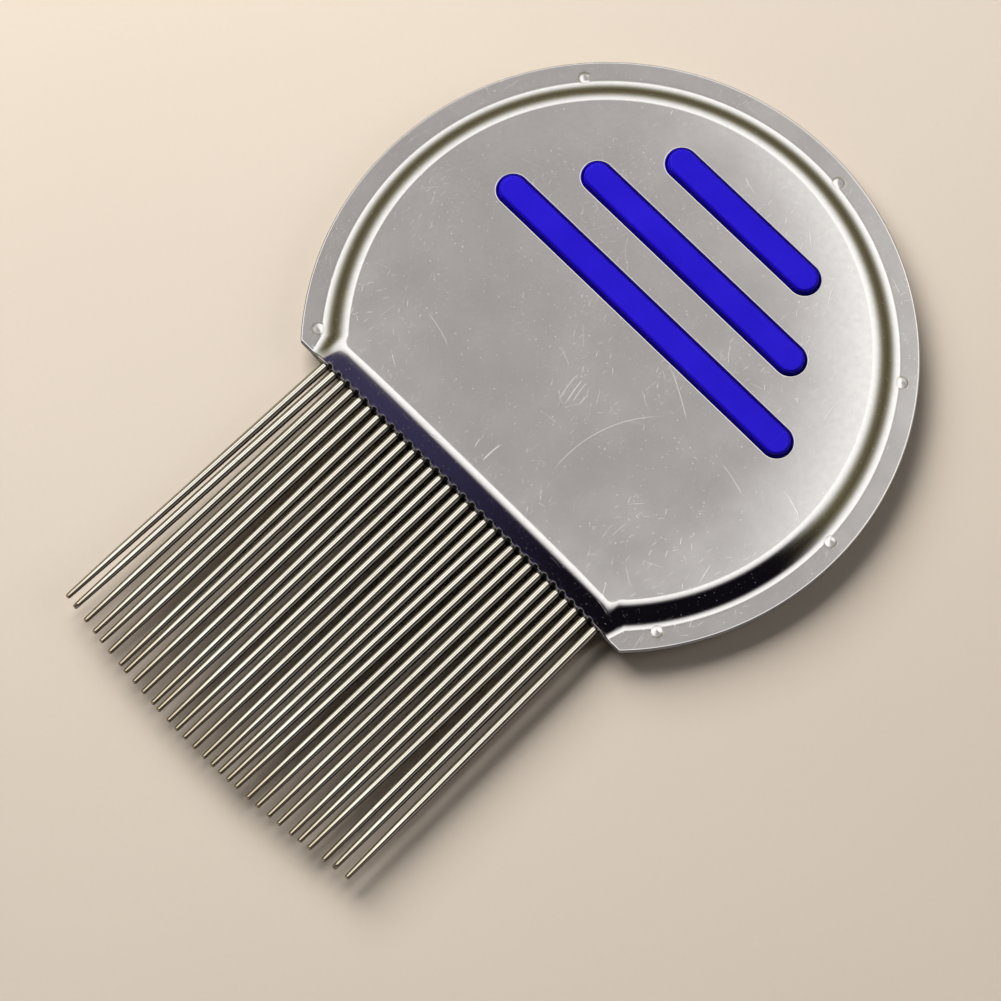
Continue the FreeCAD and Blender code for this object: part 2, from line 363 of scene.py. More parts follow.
RIM_CORNER = 0.45   # rounding of the rim's two corners at the mouth
RIM_COLUMNS = 620   # columns of the mesh round the rim
WELD_COLUMNS = 40   # and more of them beside each weld mark
WELD_SPREAD = 2.2   # out to this many degrees on both sides of it
LIP_COLUMNS = 700
LIP_HALF = 20.75    # half length of the lip
TAB_COLUMNS = 19    # from the lip's end to the rim's corner
CORNER_COLUMNS = 7
LOOP_RADIUS = 26.0  # the loop inside the panel's edge: its round stretch,
LOOP_HALF = 18.7    # half its front stretch,
LOOP_DEPTH = 0.85   # how far back from the panel's front edge that is,
LOOP_CORNER = (19.4, -18.0)  # and what its bent ends are drawn towards


def rim_outline(end_angle):
    """The round stretch of the outline, with more points beside the weld marks."""
    angles = [np.linspace(end_angle, 180 - end_angle, RIM_COLUMNS)]
    for weld in WELD_ANGLES:
        beside = np.linspace(weld - WELD_SPREAD, weld + WELD_SPREAD, WELD_COLUMNS) % 360
        angles.append(np.where(beside > 270, beside - 360, beside))
    angles = np.unique(np.round(np.concatenate(angles), 3))
    angles = np.radians(angles[(angles >= end_angle) & (angles <= 180 - end_angle)])
    return RIM_RADIUS * np.stack([np.cos(angles), np.sin(angles)], axis=1)


def shell_columns():
    """The blank's outline, and the loop just inside the panel's edge.

    Points of the same number are joined by one column of the wall's mesh.
    The outline runs anticlockwise: rim, left corner, mouth, right corner.
    """
    end_angle = math.degrees(math.asin((MOUTH_FRONT + RIM_CORNER) / (RIM_RADIUS - RIM_CORNER)))
    rim = rim_outline(end_angle)
    rim_in = LOOP_RADIUS * rim / RIM_RADIUS

    centre_x = (RIM_RADIUS - RIM_CORNER) * math.cos(math.radians(end_angle))
    centre = (centre_x, MOUTH_FRONT + RIM_CORNER)
    right_turn = arc_points(RIM_CORNER, -90, end_angle, CORNER_COLUMNS, centre)[:-1]
    tab = np.linspace(LIP_HALF, centre_x, TAB_COLUMNS + 1)[:-1]
    right_tab = np.stack([tab, np.full(len(tab), MOUTH_FRONT)], axis=1)
    lip_x = np.linspace(-LIP_HALF, LIP_HALF, LIP_COLUMNS + 1)[:-1]
    lip = np.stack([lip_x, np.full(len(lip_x), MOUTH_FRONT)], axis=1)
    right = np.concatenate([right_tab, right_turn])
    left = right[:0:-1] * (-1, 1)
    outline = np.concatenate([rim, left, lip, right])

    in_x = lip_x * (LOOP_HALF / LIP_HALF)
    lip_in = np.stack([in_x, PANEL_FRONT - bow_at(in_x) + LOOP_DEPTH], axis=1)
    lip_end = np.array([LOOP_HALF, PANEL_FRONT - bow_at(LOOP_HALF) + LOOP_DEPTH])
    share = smooth_step(np.linspace(0, 1, len(right) + 1)[:-1], 0, 1)[:, None]
    towards = np.array(LOOP_CORNER)
    bend = (1 - share) ** 2 * lip_end + 2 * share * (1 - share) * towards + share ** 2 * rim_in[0]
    loop = np.concatenate([rim_in, bend[:0:-1] * (-1, 1), lip_in, bend])
    return outline, loop


SHELL_ROWS = 40     # rows of the wall's mesh
TRIAL_ROWS = 240    # points tried along each column to find its bends
FLAT_WEIGHT = 0.22  # how close the rows stay where the sheet is flat
SHARPEST_BEND = 3.0
BLUR_ROWS = 9       # the spacing is evened out over this many trial points


def spread_rows(outline, loop):
    """Shares along each column, close together where the sheet bends."""
    fine = np.linspace(0, 1, TRIAL_ROWS)
    x = loop[:, :1] + (outline - loop)[:, :1] * fine
    y = loop[:, 1:] + (outline - loop)[:, 1:] * fine
    z = top_height(x, y)
    length = np.linalg.norm(outline - loop, axis=1)[:, None]
    bend = np.abs(np.gradient(np.gradient(z, axis=1), axis=1)) * ((TRIAL_ROWS - 1) / length) ** 2
    weight = FLAT_WEIGHT + np.sqrt(np.minimum(bend, SHARPEST_BEND))
    kernel = np.hanning(BLUR_ROWS) / np.hanning(BLUR_ROWS).sum()
    padded = np.pad(weight, ((0, 0), (BLUR_ROWS // 2, BLUR_ROWS // 2)), "edge")
    weight = np.apply_along_axis(np.convolve, 1, padded, kernel, "valid")
    total = np.cumsum(weight, axis=1)
    total = (total - total[:, :1]) / (total[:, -1:] - total[:, :1])
    even = np.linspace(0, 1, SHELL_ROWS)
    return np.stack([np.interp(even, total[k], fine) for k in range(len(outline))])


def top_normals(x, y):
    """Normals of the outer face, eased along the round wall."""
    share = by_wall(x, y)
    true_x, true_y = slopes(x, y, False)
    eased_x, eased_y = slopes(x, y, True)
    along_x = true_x + (eased_x - true_x) * share
    along_y = true_y + (eased_y - true_y) * share
    return unit(np.stack([-along_x, -along_y, np.ones_like(along_x)], axis=-1))


def worked(x, y):
    """How far the sheet is bent, stained by a weld, and in a dimple, each from 0 to 1; the dimples are
    painted near black as shade.
    """
    along_x, along_y = slopes(x, y, False, WORKED_STEP)
    bent = smooth_step(np.hypot(along_x, along_y), 0.05, 0.2)
    stain = np.zeros_like(bent)
    for degrees in WELD_ANGLES:
        away, bearing = from_weld(x, y, degrees)
        ring = np.exp(-((away - WELD_RADIUS) / WELD_STAIN) ** 2)
        side = np.cos(bearing - math.radians(degrees) - WELD_LEAN)
        stain = np.maximum(stain, ring * (0.6 + 0.4 * side))
    # the dimple mask, which the steel paints near black as shade
    pressed = 1.0 - smooth_step(from_dimple(x, y), 0.6, 1.0)
    return bent, stain, pressed


ROLLED_HALF = 20.6  # half length of the lip's deeply rolled edge
RIM_TURNS = (18, 36, 54, 70, 82, 90)  # rows of points round a rolled edge, in degrees
SLOT_TURNS = (0, 18, 36, 54, 72, 90)
CUT_TURN = 85       # past this turn the sheet's bare cut edge shows


def sheet_points(build, x, y):
    """Points on the sheet's outer face and on its inner one."""
    top = build.add(x, y, top_height(x, y), top_normals(x, y), worked(x, y))
    return top, build.add(x, y, under_height(x, y))


def shell(name, mirror):
    """One pressed shell: walls and rim, rolled edge, slots and panel."""
    outline, loop = shell_columns()
    ahead = np.roll(outline, -1, axis=0) - np.roll(outline, 1, axis=0)
    outwards = unit(np.stack([ahead[:, 1], -ahead[:, 0]], axis=1))
    trimmed = outline - outwards * RIM_ROLL
    shares = spread_rows(trimmed, loop)
    build = Builder()
    top, under = [], []
    for row in range(SHELL_ROWS):
        spot = loop + (trimmed - loop) * shares[:, row:row + 1]
        x, y = spot.T
        for rows, numbers in zip((top, under), sheet_points(build, x, y)):
            rows.append(numbers)
    rolled_edge(build, outline, outwards, trimmed, top, under)
    build.skin(top, flip=True)
    build.skin(under)
    build.skin((top[-1], under[-1]), flip=True)
    rings = [slot_edge(build, y, half) for y, half in SLOTS]
    panel(build, top[0], under[0], [ring[0] for ring in rings], [ring[1] for ring in rings])
    return build.obj(name, mirror)


def rolled_edge(build, outline, outwards, trimmed, top, under):
    """Add rows of points round the sheet's outer edge to those of its two faces."""
    x, y = trimmed.T
    edge_z = top_height(x, y)
    edge_normal = top_normals(x, y)
    floor_z = under_height(x, y)
    dimple_shade = worked(x, y)[2]
    out = in_space(outwards)
    down = np.array([0, 0, -1.0])
    at_lip = (np.abs(outline[:, 0]) < ROLLED_HALF) & (outline[:, 1] < MOUTH_FRONT + 0.1)
    roll_down = np.where(at_lip, LIP_ROLL_DOWN, RIM_ROLL_DOWN)
    for degrees in RIM_TURNS:
        turn = math.radians(degrees)
        spot = trimmed + outwards * RIM_ROLL * math.sin(turn)
        # painted shade: the bare cut edge and the lip's dimples are marked to be painted near black
        cut_and_dimple_shade = np.maximum(dimple_shade, 1.0 if degrees > CUT_TURN else 0.0)
        lean = np.arctan2(math.sin(turn) * roll_down, math.cos(turn) * RIM_ROLL)[:, None]
        normal = unit(edge_normal * np.cos(lean) + out * np.sin(lean))
        fall = roll_down * (1 - math.cos(turn))
        top.append(build.add(*spot.T, edge_z - fall, normal, (1.0, 0.0, cut_and_dimple_shade)))
        normal = unit(down * np.cos(lean) + out * np.sin(lean))
        fall = RIM_ROLL_DOWN * (1 - math.cos(turn))
        under.append(build.add(*spot.T, floor_z + fall, normal, (1.0, 0.0, cut_and_dimple_shade)))


def slot_edge(build, y, half):
    """A slot's rolled edge and wall; returns where they meet the outer and inner face."""
    around = stadium(y, half, SLOT_RADIUS + SLOT_ROLL, SLOT_SIDE_COLUMNS)
    out = stadium_out(around, y, half)
    out3 = in_space(out)
    level = top_height(*around.T)
    start = top_normals(*around.T)
    rows = []
    for turn in np.radians(SLOT_TURNS):
        spot = around - out * SLOT_ROLL * math.sin(turn)
        normal = unit(start * math.cos(turn) - out3 * math.sin(turn))
        z = level - SLOT_ROLL * (1 - math.cos(turn))
        rows.append(build.add(*spot.T, z, normal, (min(turn, 1.0), 0.0, 0.0)))
    wall = around - out * SLOT_ROLL
    low = under_height(*around.T)
    rows.append(build.add(*wall.T, low))
    rows.append(build.add(*around.T, low))
    build.skin(rows)
    return rows[0], rows[-1]


GRID_STEP = 1.1         # spacing of the points inside the panel
GRID_X = (-27.0, 27.1)  # the stretch that they are laid over
GRID_Y = (-20.0, 27.1)
GRID_RADIUS = 25.4      # they keep inside this,
GRID_FRONT = 1.0        # this far from the panel's front edge
GRID_SLOT = 0.45        # and this far from the slots' edges
INSIDE = 0.002          # this far inside a loop a point counts as in it


def panel_grid():
    """Staggered rows of points inside the panel, clear of its edge and the slots."""
    x, y = np.meshgrid(np.arange(*GRID_X, GRID_STEP), np.arange(*GRID_Y, GRID_STEP))
    x = x + (np.round(y / GRID_STEP) % 2) * GRID_STEP / 2
    x, y = x.ravel(), y.ravel()
    clear = (np.hypot(x, y) < GRID_RADIUS) & (y > PANEL_FRONT + GRID_FRONT)
    for slot in SLOTS:
        clear &= np.hypot(*from_slot(x, y, *slot)) > SLOT_RADIUS + SLOT_ROLL + GRID_SLOT
    return np.stack([x[clear], y[clear]], axis=1)


def triangles(loops, loose, radius):
    """Triangles between an outer loop and the loops of this radius round the slots.

    Each is the numbers of its corners, among the loops' and then the loose points.
    """
    edges = []
    start = 0
    for ring in loops:
        numbers = np.arange(start, start + len(ring))
        edges.extend(zip(numbers.tolist(), np.roll(numbers, -1).tolist()))
        start += len(ring)
    points = [Vector(spot) for spot in np.concatenate(loops + [loose]).tolist()]
    made = delaunay_2d_cdt(points, edges, [], 1, 1e-7)
    spots, faces, origins = made[0], made[2], made[3]
    kept = []
    for face in faces:
        middle = sum((spots[k] for k in face), Vector((0, 0))) / len(face)
        if all(np.hypot(*from_slot(*middle, *slot)) > radius - INSIDE for slot in SLOTS):
            kept.append([origins[k][0] for k in face])
    return kept


def panel(build, top_edge, under_edge, top_rings, under_rings):
    """The panel's two faces, between its edge and the slots."""
    flat = np.concatenate(build.points)
    grid = panel_grid()
    x, y = grid.T
    made = triangles([flat[ring, :2] for ring in [top_edge] + top_rings], grid, SLOT_RADIUS + SLOT_ROLL)
    inner_top, inner_under = sheet_points(build, x, y)
    top_numbers = np.concatenate([top_edge] + top_rings + [inner_top])
    under_numbers = np.concatenate([under_edge] + under_rings + [inner_under])
    for corners in made:
        build.faces.append([int(top_numbers[k]) for k in corners])
        build.faces.append([int(under_numbers[k]) for k in reversed(corners)])


# ---- pins ----

PIN_SIDES = 32
PIN_PROFILE = (       # place along Y, radius
    (-13.6, 0.50), (-13.75, 0.53), (-24, 0.53), (-34, 0.505), (-43, 0.465),
    (-50, 0.43), (-53.5, 0.375), (-56.5, 0.315), (-58.6, 0.275),
)
PIN_TIP_ROUND = 0.24  # rounding of the blunt tip,
PIN_TIP_TURN = 78     # which stops at this turn and leaves a small flat
PIN_END = 0.02        # points this close to the CAD pin's end belong to its end face
PIN_ROWS = 7          # rows in each stretch of the profile, and round the tip
PIN_BOW = 0.05        # most that a pin is bowed
PIN_SEED = 700


def pin_axis(node):
    """Middle of a pin's back end and of its tip, in millimetres from the rim's centre."""
    obj = NODES[node]
    spots = np.array([tuple(obj.matrix_world @ v.co) for v in obj.data.vertices])
    spots = (spots - np.array(RIM_CENTRE)) / MM
    back = spots[spots[:, 1] > spots[:, 1].max() - PIN_END].mean(axis=0)
    tip = spots[spots[:, 1] < spots[:, 1].min() + PIN_END].mean(axis=0)
    return back, tip


def pin(node):
    """One drawn wire: straight, thinner towards its blunt tip, a very little bowed."""
    back, tip = pin_axis(node)
    chance = np.random.default_rng(PIN_SEED + int(node[4:]))
    bow = chance.uniform(-PIN_BOW, PIN_BOW)
    wear = chance.uniform(0.0, 1.0)
    ends = np.array(PIN_PROFILE)
    fine = np.concatenate([np.linspace(a, b, PIN_ROWS)[:-1] for a, b in zip(ends[:-1, 0], ends[1:, 0])])
    radii = np.interp(-fine, -ends[:, 0], ends[:, 1])
    turns = np.radians(np.linspace(0, PIN_TIP_TURN, PIN_ROWS))
    round_start = tip[1] + PIN_TIP_ROUND
    fine = np.append(fine[fine > round_start], round_start - PIN_TIP_ROUND * np.sin(turns))
    radii = np.append(radii[:len(fine) - len(turns)], ends[-1, 1] - PIN_TIP_ROUND * (1 - np.cos(turns)))
    share = (fine - back[1]) / (tip[1] - back[1])
    middle_x = back[0] + (tip[0] - back[0]) * share + bow * np.sin(np.pi * share) ** 2
    middle_z = back[2] + (tip[2] - back[2]) * share
    slope = np.gradient(radii, fine)
    build = Builder()
    angles = np.radians(np.arange(PIN_SIDES) * 360 / PIN_SIDES)
    # painted shade: the flanks that face the next pins are marked to be darkened in the wire's colour
    painted_flank_shade = 1.0 - smooth_step(np.abs(np.sin(angles)), 0.5, 0.9)
    rows = []
    for k in range(len(fine)):
        out = np.stack([np.cos(angles), np.full(PIN_SIDES, -slope[k]), np.sin(angles)], axis=1)
        x = middle_x[k] + radii[k] * np.cos(angles)
        z = middle_z[k] + radii[k] * np.sin(angles)
        rows.append(build.add(x, np.full(PIN_SIDES, fine[k]), z, unit(out), (wear, painted_flank_shade, 0.0)))
    build.skin(rows)
    build.faces.append(rows[0][::-1].tolist())
    build.faces.append(rows[-1].tolist())
    obj = build.obj("wire_" + node)
    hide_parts(node)
    return obj


# ---- grip core ----

CORE_RADIUS = 25.4   # the plate's round edge,
CORE_FRONT = 1.2     # its straight front edge
CORE_CORNER = 3.0    # and the rounding between them
CORE_TOP = 1.76      # half the plate's thickness
RIB_GAP = 0.17       # gap between a rib and its slot's wall
RIB_SHOULDER = 0.36  # rounding of the ribs' upper edges
RIB_ROWS = 9         # rows of points round it
ROUND_COLUMNS = 120  # points along the plate's round edge
BEND_COLUMNS = 14    # and round each corner


def core_outline():
    """The D shaped plate that the ribs stand on, anticlockwise."""
    start = math.degrees(math.asin((CORE_FRONT + CORE_CORNER) / (CORE_RADIUS - CORE_CORNER)))
    centre_x = (CORE_RADIUS - CORE_CORNER) * math.cos(math.radians(start))
    big = arc_points(CORE_RADIUS, start, 180 - start, ROUND_COLUMNS)
    centre_y = CORE_FRONT + CORE_CORNER
    left = arc_points(CORE_CORNER, 180 - start, 270, BEND_COLUMNS, (-centre_x, centre_y))[1:]
    right = arc_points(CORE_CORNER, 270, 360 + start, BEND_COLUMNS, (centre_x, centre_y))[:-1]
    return np.concatenate([big, left, right])


def core():
    """The moulded core: a plate with three ribs on each face."""
    build = Builder()
    outline = core_outline()
    edge = [build.add(*outline.T, z) for z in (CORE_TOP, -CORE_TOP)]
    build.skin(edge, flip=True)
    for side, plate_edge in ((1, edge[0]), (-1, edge[1])):
        rings = []
        for y, half in SLOTS:
            around = stadium(y, half, SLOT_RADIUS - RIB_GAP, RIB_SIDE_COLUMNS)
            out = stadium_out(around, y, half)
            out3 = in_space(out)
            rows = [build.add(*around.T, side * CORE_TOP)]
            for turn in np.radians(np.linspace(0, 90, RIB_ROWS)):
                spot = around - out * RIB_SHOULDER * (1 - math.cos(turn))
                z = RIB_Z - RIB_SHOULDER * (1 - math.sin(turn))
                normal = out3 * math.cos(turn) + np.array([0, 0, side * math.sin(turn)])
                rows.append(build.add(*spot.T, side * z, normal))
            build.skin(rows, flip=side < 0)
            top = rows[-1].tolist()
            build.faces.append(top if side > 0 else top[::-1])
            rings.append(rows[0])
        plate(build, plate_edge, rings, side)
    obj = build.obj("grip_core_moulding")
    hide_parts("grip_core")
    return obj


def plate(build, plate_edge, rings, side):
    """One face of the core's plate, between its edge and the ribs."""
    flat = np.concatenate(build.points)
    loops = [plate_edge] + rings
    numbers = np.concatenate(loops)
    made = triangles([flat[ring, :2] for ring in loops], np.zeros((0, 2)), SLOT_RADIUS - RIB_GAP)
    for face in made:
        corners = [int(numbers[k]) for k in face]
        build.faces.append(corners if side > 0 else corners[::-1])


# ---- materials ----

FULL_TURN = 2 * math.pi


class Nodes:
    """Short calls to add and join the nodes of one tree."""

    def __init__(self, tree):
        self.tree = tree

    def node(self, kind, **settings):
        made = self.tree.nodes.new("ShaderNode" + kind)
        inputs = settings.pop("inputs", {})
        for key, value in settings.items():
            setattr(made, key, value)
        for key, value in inputs.items():
            self.put(value, made.inputs[key])
        return made

    def put(self, value, socket):
        if isinstance(value, bpy.types.NodeSocket):
            self.tree.links.new(value, socket)
        else:
            socket.default_value = value

    def math(self, operation, a, b=0.0):
        return self.node("Math", operation=operation, inputs={0: a, 1: b}).outputs[0]

    def times(self, a, b):
        return self.math("MULTIPLY", a, b)

    def plus(self, a, b):
        return self.math("ADD", a, b)

    def most(self, a, b):
        return self.math("MAXIMUM", a, b)

    def vector(self, operation, a, b=(0.0, 0.0, 0.0), output="Vector"):
        return self.node("VectorMath", operation=operation, inputs={0: a, 1: b}).outputs[output]

    def dot(self, a, b):
        return self.vector("DOT_PRODUCT", a, b, "Value")

    def length(self, a):
        return self.vector("LENGTH", a, output="Value")

    def part(self, a, index):
        return self.node("SeparateXYZ", inputs={0: a}).outputs[index]

    def place(self):
        return self.node("TexCoord").outputs["Object"]

    def attribute(self, name):
        return self.node("Attribute", attribute_name=name).outputs["Fac"]

    def noise(self, vector, scale, detail, roughness=0.5):
        inputs = {"Vector": vector, "Scale": scale, "Detail": detail, "Roughness": roughness}
        return self.node("TexNoise", inputs=inputs).outputs["Fac"]

    def ramp(self, value, low, high, start=0.0, end=1.0, kind="LINEAR"):
        inputs = {"Value": value, "From Min": low, "From Max": high, "To Min": start, "To Max": end}
        return self.node("MapRange", interpolation_type=kind, inputs=inputs).outputs["Result"]

    def fade(self, value, low, high, start=0.0, end=1.0):
        """A ramp that starts and ends softly."""
        return self.ramp(value, low, high, start, end, "SMOOTHSTEP")

    def mix(self, factor, a, b):
        made = self.node("Mix", data_type="RGBA", inputs={"Factor": factor})
        for value, socket in ((a, made.inputs[6]), (b, made.inputs[7])):
            self.put((*value, 1.0) if isinstance(value, tuple) else value, socket)
        return made.outputs[2]

    def arc_mark(self, place, centre, radius, towards, half, width):
        """A fine curved line: the part of a circle that lies towards an angle."""
        out = self.vector("SUBTRACT", place, tuple(centre))
        flat = self.vector("MULTIPLY", out, (1.0, 1.0, 0.0))
        off = self.math("ABSOLUTE", self.math("SUBTRACT", self.length(flat), radius))
        line = self.fade(off, 0.0, width, 1.0, 0.0)
        axis = (math.cos(towards), math.sin(towards), 0.0)
        facing = self.dot(self.vector("NORMALIZE", flat), axis)
        end = self.fade(facing, math.cos(half), math.cos(half * 0.6))
        return self.times(line, end)

    def scratches(self, vector, scale, width, reach, share, seed, lean=0.0, spread=FULL_TURN):
        """One fine line in each cell of a random pattern, each at its own angle."""
        scaled = self.vector("MULTIPLY", vector, (scale, scale, scale))
        moved = self.vector("ADD", scaled, (seed, seed * 1.7, seed * 0.3))
        cells = self.node("TexVoronoi", inputs={"Vector": moved, "Scale": 1.0, "Randomness": 1.0})
        offset = self.vector("SUBTRACT", moved, cells.outputs["Position"])
        chance = self.node("SeparateColor", inputs={0: cells.outputs["Color"]})
        angle = self.ramp(chance.outputs[0], 0.0, 1.0, lean - spread / 2, lean + spread / 2)
        cosine = self.math("COSINE", angle)
        sine = self.math("SINE", angle)
        along_v = self.node("CombineXYZ", inputs={0: cosine, 1: sine, 2: 0.0}).outputs[0]
        across_v = self.node("CombineXYZ", inputs={0: self.times(sine, -1.0), 1: cosine}).outputs[0]
        along = self.math("ABSOLUTE", self.dot(offset, along_v))
        bowed = self.times(self.times(along, along), 0.12)
        across = self.math("ABSOLUTE", self.plus(self.dot(offset, across_v), bowed))
        line = self.fade(across, 0.0, width * scale, 1.0, 0.0)
        end = self.fade(along, reach * 0.5, reach, 1.0, 0.0)
        kept = self.math("LESS_THAN", chance.outputs[1], share)
        return self.times(self.times(line, end), kept)


class Shader(Nodes):
    """A material's nodes."""

    def __init__(self, name):
        self.material = bpy.data.materials.new(name)
        self.material.use_nodes = True
        super().__init__(self.material.node_tree)
        self.bsdf = self.tree.nodes["Principled BSDF"]

    def set(self, **inputs):
        for key, value in inputs.items():
            self.put(value, self.bsdf.inputs[key.replace("_", " ")])

    def bump(self, height, distance):
        inputs = {"Height": height, "Strength": 1.0, "Distance": distance}
        made = self.node("Bump", inputs=inputs)
        self.put(made.outputs["Normal"], self.bsdf.inputs["Normal"])


HANDLING_MARKS = (
    ((9.5, -1.2), (5.5, -14.2), -0.13, 0.275), ((5.9, 2.8), (11.4, -0.3), 0.02, 0.225),
    ((5.2, 3.0), (10.0, 0.6), 0.02, 0.15), ((0.5, -8.2), (-0.2, -4.4), 0.03, 0.25),
    ((1.2, -7.7), (0.6, -4.6), 0.03, 0.3), ((1.6, -7.1), (1.1, -4.5), 0.03, 0.25),
    ((2.2, -6.8), (2.2, -5.3), 0.03, 0.25), ((-16.0, -10.9), (-11.4, -12.1), 0.04, 0.2),
    ((-0.4, -18.2), (-0.3, -15.4), 0.04, 0.45), ((-2.0, -17.7), (-2.3, -16.5), 0.03, 0.3),
    ((23.7, 1.6), (26.4, 0.8), 0.02, 0.25), ((16.6, -0.8), (20.9, -1.8), 0.03, 0.175),
)
MARK_WIDTH = 0.00008


def handling_marks(shader, place):
    """The longer marks on the front, each with its ends, bow and strength.

    The ends are in millimetres from the rim's centre, the bow is a share of the length.
    """
    total = 0.0
    for start, end, bow, strength in HANDLING_MARKS:
        a = RIM_CENTRE + Vector((*start, 0.0)) * MM
        b = RIM_CENTRE + Vector((*end, 0.0)) * MM
        half = (b - a).length / 2
        sag = abs(bow) * half * 2
        radius = (half * half + sag * sag) / (2 * sag)
        side = Vector((a.y - b.y, b.x - a.x, 0.0)).normalized() * math.copysign(1.0, bow)
        centre = (a + b) / 2 + side * (sag - radius)
        towards = math.atan2(side.y, side.x)
        line = shader.arc_mark(place, centre, radius, towards, math.asin(half / radius), MARK_WIDTH)
        total = shader.most(total, shader.times(line, strength))
    height = shader.part(place, 2)
    return shader.times(total, shader.math("GREATER_THAN", height, RIM_CENTRE.z))


def scuffs(shader, place, bent):
    """How scratched the steel is: patches of scratches, specks, longer marks, a rubbed lip."""
    y = shader.part(place, 1)
    mouth = RIM_CENTRE.y + PANEL_FRONT * MM
    near_mouth = shader.fade(y, mouth, mouth + 0.012, 1.0, 0.0)
    patchy = shader.fade(shader.noise(place, 130, 2.0), 0.44, 0.6)
    patchy = shader.most(patchy, shader.times(near_mouth, 0.8))
    dashes = shader.scratches(place, 900, 0.00004, 0.4, 0.4, 3.1, math.pi / 2, 1.6)
    medium = shader.scratches(place, 330, 0.00006, 0.45, 0.4, 7.7, math.pi / 2, 3.0)
    dashes = shader.times(dashes, 0.17)
    medium = shader.times(medium, 0.15)
    marks = shader.times(shader.most(dashes, medium), patchy)
    specks = shader.math("LESS_THAN", shader.noise(place, 5200, 0.0), 0.19)
    marks = shader.most(marks, shader.times(specks, 0.3))
    marks = shader.most(marks, handling_marks(shader, place))
    rubs = shader.scratches(place, 420, 0.00006, 0.48, 0.6, 2.2, 0.0, 0.5)
    on_lip = shader.times(bent, shader.math("LESS_THAN", y, mouth + 0.0003))
    rubs = shader.times(shader.times(rubs, on_lip), 0.35)
    return shader.most(marks, rubs)


def shell_steel():
    """Pressed steel: satin, glossier where the press bent it, scuffed, brown round the welds, and painted
    near black as shade on its cut edges and in the lip's dimples.
    """
    shader = Shader("pressed_steel")
    place = shader.place()
    bent = shader.attribute("worked")
    stain = shader.attribute("stain")
    cut_and_dimple_shade = shader.attribute("cut_and_dimple_shade")
    cloud = shader.noise(place, 160, 4.0, 0.6)
    mottle = shader.noise(place, 1300, 3.0, 0.7)
    grain = shader.noise(shader.vector("MULTIPLY", place, (1.0, 6.0, 1.0)), 2600, 2.0, 0.6)
    marks = scuffs(shader, place, bent)
    bright = shader.mix(shader.ramp(cloud, 0.3, 0.7), (0.60, 0.585, 0.57), (0.62, 0.605, 0.59))
    bright = shader.mix(shader.ramp(mottle, 0.3, 0.7, 0.0, 0.4), bright, (0.50, 0.485, 0.485))
    bright = shader.mix(shader.times(marks, 0.8), bright, (0.95, 0.94, 0.91))
    colour = shader.mix(shader.times(stain, 0.85), bright, (0.20, 0.17, 0.10))
    # painted shade: cut edges and the lip's dimples are painted near black
    colour = shader.mix(cut_and_dimple_shade, colour, (0.025, 0.023, 0.022))
    uneven = shader.plus(cloud, shader.times(mottle, 0.5))
    flat_gloss = shader.ramp(uneven, 0.5, 1.0, 0.10, 0.16)
    bent_gloss = shader.fade(mottle, 0.5, 0.8, 0.07, 0.16)
    gloss = shader.ramp(bent, 0.0, 1.0, flat_gloss, bent_gloss)
    gloss = shader.plus(gloss, shader.times(marks, 0.25))
    gloss = shader.ramp(cut_and_dimple_shade, 0.0, 1.0, gloss, 0.5)
    shader.set(Metallic=1.0, Roughness=gloss, Base_Color=colour)
    height = shader.times(marks, -1.0)
    height = shader.plus(height, shader.times(grain, 0.07))
    height = shader.plus(height, shader.times(cloud, 0.05))
    shader.bump(height, 0.00001)
    return shader.material


def pin_metal():
    """Drawn wire, warmer towards the tips, with painted shade on the flanks where two pins face."""
    shader = Shader("drawn_wire")
    place = shader.place()
    wear = shader.attribute("worked")
    lines = shader.noise(shader.vector("MULTIPLY", place, (1.0, 0.02, 1.0)), 5200, 3.0, 0.6)
    spots = shader.noise(place, 900, 3.0, 0.6)
    y = shader.part(place, 1)
    tip = shader.fade(y, cad_low.y, cad_low.y + 0.009, 1.0, 0.0)
    # painted shade on the flanks that face the next pins
    painted_flank_shade = shader.attribute("stain")
    pale = shader.mix(wear, (0.78, 0.75, 0.67), (0.72, 0.685, 0.60))
    colour = shader.mix(shader.times(tip, 0.8), pale, (0.44, 0.35, 0.22))
    colour = shader.mix(shader.ramp(spots, 0.62, 0.8, 0.0, 0.35), colour, (0.26, 0.21, 0.14))
    # painted shade: the flanks facing the next pins are painted dark brown
    colour = shader.mix(shader.times(painted_flank_shade, 0.94), colour, (0.055, 0.040, 0.024))
    gloss = shader.ramp(shader.plus(lines, spots), 0.7, 1.3, 0.08, 0.15)
    shader.set(Metallic=1.0, Roughness=gloss, Base_Color=colour)
    shader.bump(shader.plus(lines, shader.times(spots, 0.5)), 0.0000015)
    return shader.material


def blue_plastic():
    """Gloss blue moulding with faint flow clouding and a few rub marks."""
    shader = Shader("blue_moulding")
    place = shader.place()
    cloud = shader.noise(place, 220, 3.0, 0.5)
    pebble = shader.noise(place, 3800, 2.0, 0.5)
    marks = shader.scratches(place, 260, 0.00003, 0.45, 0.5, 5.3)
    colour = shader.mix(shader.ramp(cloud, 0.3, 0.7), (0.010, 0.001, 0.49), (0.014, 0.003, 0.55))
    colour = shader.mix(shader.times(marks, 0.12), colour, (0.15, 0.14, 0.75))
    gloss = shader.plus(shader.ramp(pebble, 0.3, 0.7, 0.28, 0.36), shader.times(marks, 0.15))
    shader.set(Roughness=gloss, Base_Color=colour)
    shader.bsdf.inputs["Specular IOR Level"].default_value = 0.14
    shader.bump(shader.math("SUBTRACT", shader.times(pebble, 0.5), marks), 0.000003)
    return shader.material


